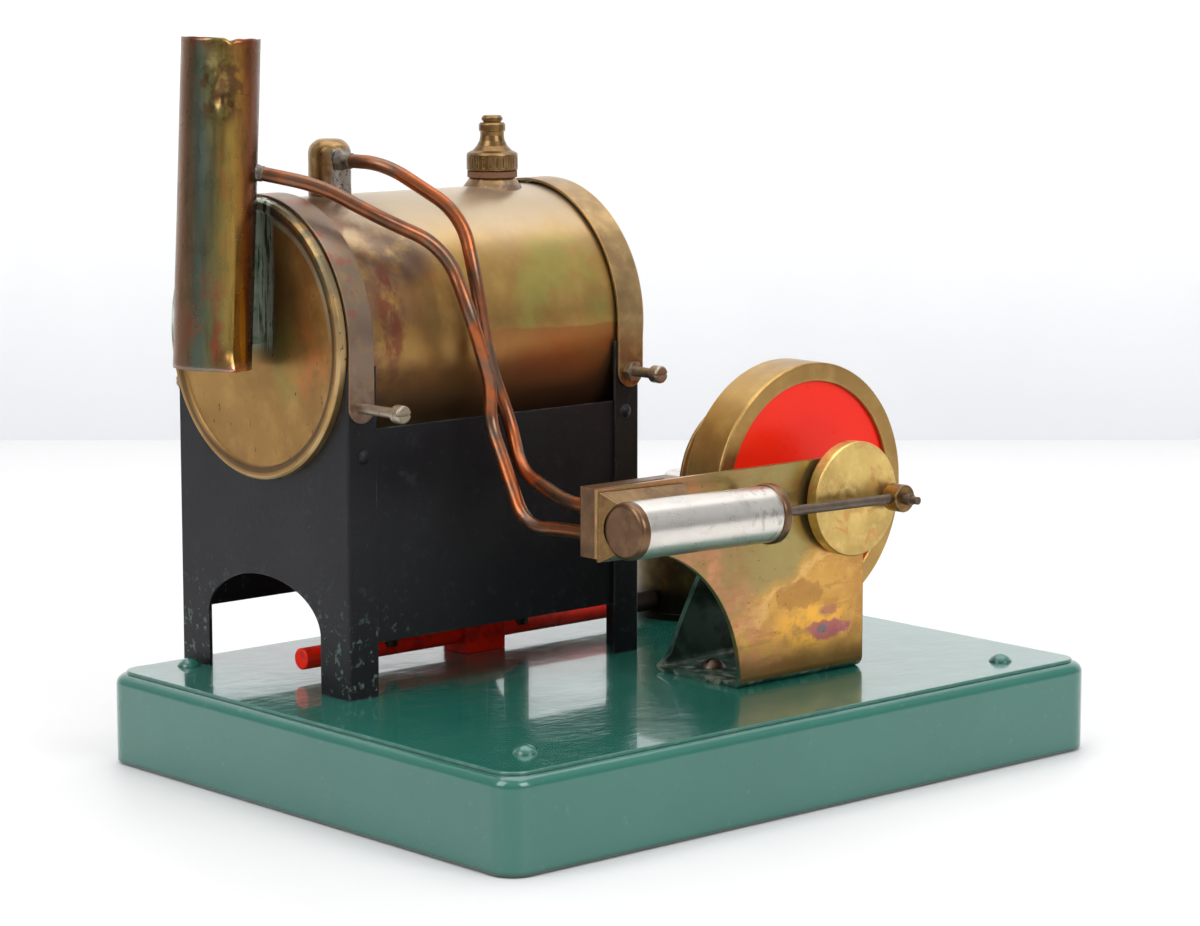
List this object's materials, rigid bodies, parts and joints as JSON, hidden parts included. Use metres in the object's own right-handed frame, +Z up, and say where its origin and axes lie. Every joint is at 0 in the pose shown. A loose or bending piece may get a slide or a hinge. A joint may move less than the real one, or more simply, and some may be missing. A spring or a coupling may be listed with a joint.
{
  "type": "toy steam engine",
  "caption": "Small stationary toy steam engine: horizontal brass boiler on a black firebox with leaning chimney, oscillating cylinder and red-webbed flywheel on a green board.",
  "frame": {"origin": "centre of the underside of the base board", "axes": "+X along the boiler from the chimney towards the flywheel, -Y towards the engine side, +Z up"},
  "size_m": [0.1817, 0.1456, 0.168],
  "materials": {
    "green_board": "gloss",
    "green_enamel": "gloss",
    "firebox_black": "satin",
    "boiler_brass": "satin",
    "strap_brass": "satin",
    "chimney_brass": "satin",
    "fitting_brass": "satin",
    "bracket_brass": "satin",
    "disc_brass": "satin",
    "wheel_brass": "satin",
    "tank_brass": "satin",
    "red_enamel": "gloss",
    "nickel": "satin",
    "copper_pipe": "satin",
    "plated_steel": "satin",
    "dull_steel": "matte",
    "solder": "satin",
    "fibre": "matte",
    "wick_cotton": "matte"
  },
  "bodies": {
    "frame": {"base_board": "green_board", "base_plate": "green_enamel", "base_nails": "green_enamel", "firebox_front_frame": "firebox_black", "firebox_rear_frame": "firebox_black", "firebox_side_panel_near": "firebox_black", "firebox_side_panel_far": "firebox_black", "firebox_rivets": "firebox_black", "boiler_shell": "boiler_brass", "boiler_front_cap": "boiler_brass", "boiler_rear_cap": "boiler_brass", "boiler_strap_front": "strap_brass", "boiler_strap_rear": "strap_brass", "strap_screws": "plated_steel", "strap_nuts": "plated_steel", "steam_dome": "boiler_brass", "steam_pipe": "copper_pipe", "exhaust_pipe": "copper_pipe", "pipe_collars": "solder", "chimney": "chimney_brass", "chimney_solder": "solder", "valve_bush": "boiler_brass", "engine_bracket": "bracket_brass", "port_block": "fitting_brass", "front_bearing": "fitting_brass", "rear_bearing": "fitting_brass", "bracket_screws": "plated_steel"},
    "crankshaft": {"crankshaft": "dull_steel", "crank_disc": "disc_brass", "crank_pin": "dull_steel", "flywheel_rim": "wheel_brass", "flywheel_web": "red_enamel", "flywheel_hub": "wheel_brass", "hub_grub_screw": "dull_steel", "drive_pulley": "wheel_brass"},
    "cylinder": {"cylinder_barrel": "nickel", "cylinder_port_face": "fitting_brass", "cylinder_head_cap": "fitting_brass", "cylinder_gland_cap": "fitting_brass", "trunnion_pin": "dull_steel", "trunnion_nut": "fitting_brass", "trunnion_spring": "plated_steel"},
    "piston": {"piston": "fitting_brass", "piston_rod": "dull_steel", "big_end_eye": "fitting_brass", "big_end_stud": "dull_steel"},
    "filler_plug": {"valve_body": "fitting_brass", "valve_washer": "fibre", "valve_spring": "plated_steel"},
    "valve_stem": {"valve_stem": "fitting_brass"},
    "burner": {"burner_tank": "tank_brass", "burner_tube": "red_enamel", "wick_tubes": "tank_brass", "wicks": "wick_cotton", "burner_foot": "red_enamel"},
    "tank_cap": {"tank_cap": "nickel"}
  },
  "joints": [
    {"name": "flywheel_spin", "type": "hinge", "parent": "frame", "child": "crankshaft", "pos_m": [0.0358, -0.028, 0.0623], "axis": [0, 1, 0], "continuous": true},
    {"name": "cylinder_swing", "type": "hinge", "parent": "frame", "child": "cylinder", "pos_m": [-0.0275, -0.0425, 0.0634], "axis": [0, 1, 0], "range_deg": [-9.2, 8.9]},
    {"name": "piston_slide", "type": "slide", "parent": "cylinder", "child": "piston", "axis": [0.9998, 0, -0.0198], "range_m": [-0.02, 0]},
    {"name": "plug_lift", "type": "slide", "parent": "frame", "child": "filler_plug", "axis": [0, 0, 1], "range_m": [0, 0.008]},
    {"name": "valve_lift", "type": "slide", "parent": "filler_plug", "child": "valve_stem", "axis": [0, 0, 1], "range_m": [0, 0.0015], "stiffness_N_per_m": 300, "springref_m": -0.002, "deforming": ["valve_spring"]},
    {"name": "burner_pull", "type": "slide", "parent": "frame", "child": "burner", "axis": [1, 0, 0], "range_m": [0, 0.08]},
    {"name": "tank_cap_lift", "type": "slide", "parent": "burner", "child": "tank_cap", "axis": [0, 0, 1], "range_m": [0, 0.006]}
  ]
}
